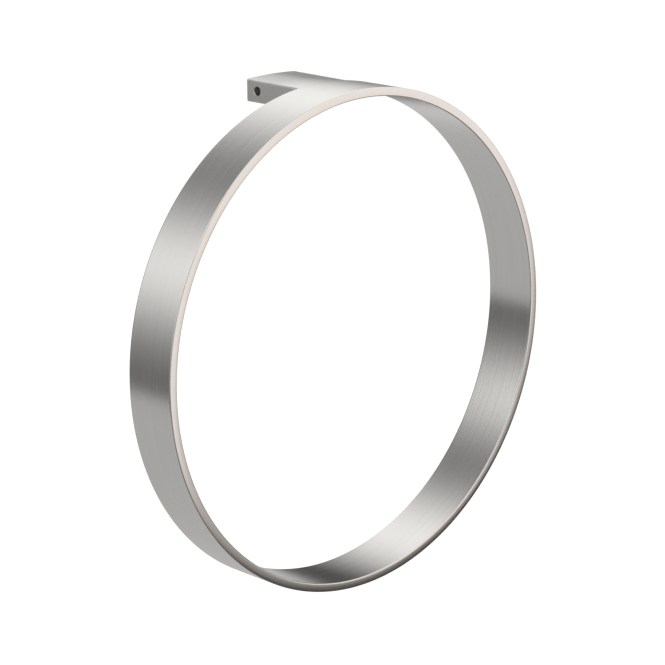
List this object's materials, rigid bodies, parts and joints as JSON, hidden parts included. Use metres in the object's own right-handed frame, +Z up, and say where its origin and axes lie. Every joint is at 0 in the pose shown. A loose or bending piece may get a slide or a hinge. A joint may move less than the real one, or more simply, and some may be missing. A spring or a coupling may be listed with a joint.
{
  "type": "towel ring",
  "caption": "Round flat-bar towel ring welded to a short wall block that slides onto a wall pin and is locked by a grub screw.",
  "frame": {"origin": "on the axis of the wall pin's bore, in the plane of the wall", "axes": "+Y out of the bore towards the wall, so the ring's front faces -Y; +X to the right seen from the front; +Z up"},
  "size_m": [0.171, 0.045, 0.171],
  "materials": {
    "brushed_steel": "satin, brushed round the ring",
    "screw_steel": "black oxide"
  },
  "bodies": {
    "root": {"ring_band": "brushed_steel", "mounting_block": "brushed_steel", "grub_screw": "screw_steel"}
  },
  "joints": []
}
